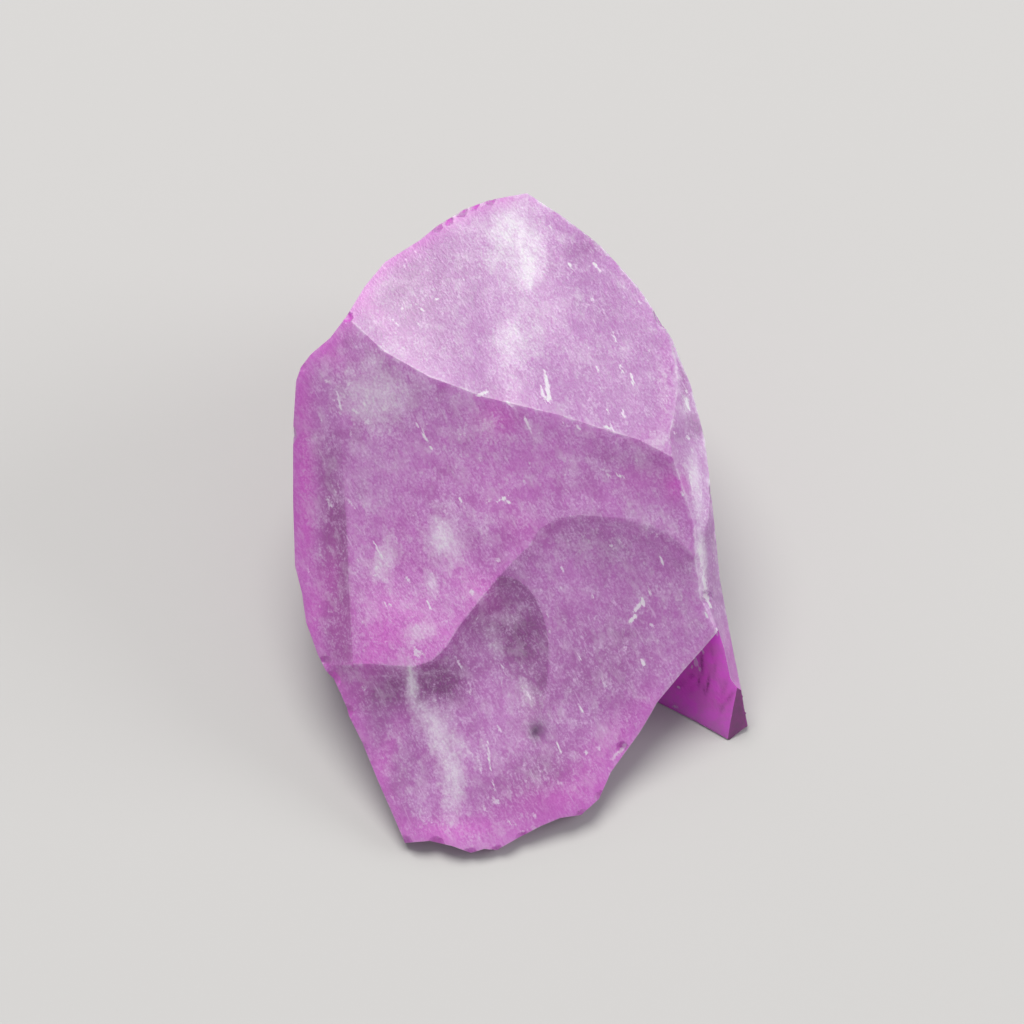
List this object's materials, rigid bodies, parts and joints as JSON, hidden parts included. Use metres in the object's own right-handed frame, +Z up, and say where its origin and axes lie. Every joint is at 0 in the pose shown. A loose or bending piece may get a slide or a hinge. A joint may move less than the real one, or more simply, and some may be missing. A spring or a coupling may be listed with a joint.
{
  "type": "rough zircon",
  "caption": "Rough pink-magenta zircon, one broken chunk of frosted translucent crystal with curved fracture faces, a ridge across its front and a thin leg at one foot",
  "frame": {"origin": "middle of the stone's bounding box in plan, at the height of the flat broken face it rests on", "axes": "+Z up, +Y along the length of the stone from the low pointed end to the high end, +X to the side of the thin leg"},
  "size_m": [0.0252, 0.0376, 0.016],
  "materials": {
    "zircon": "frosted broken crystal, finely scratched, see-through at the thin edges"
  },
  "bodies": {
    "root": {"zircon": "zircon"}
  },
  "joints": []
}
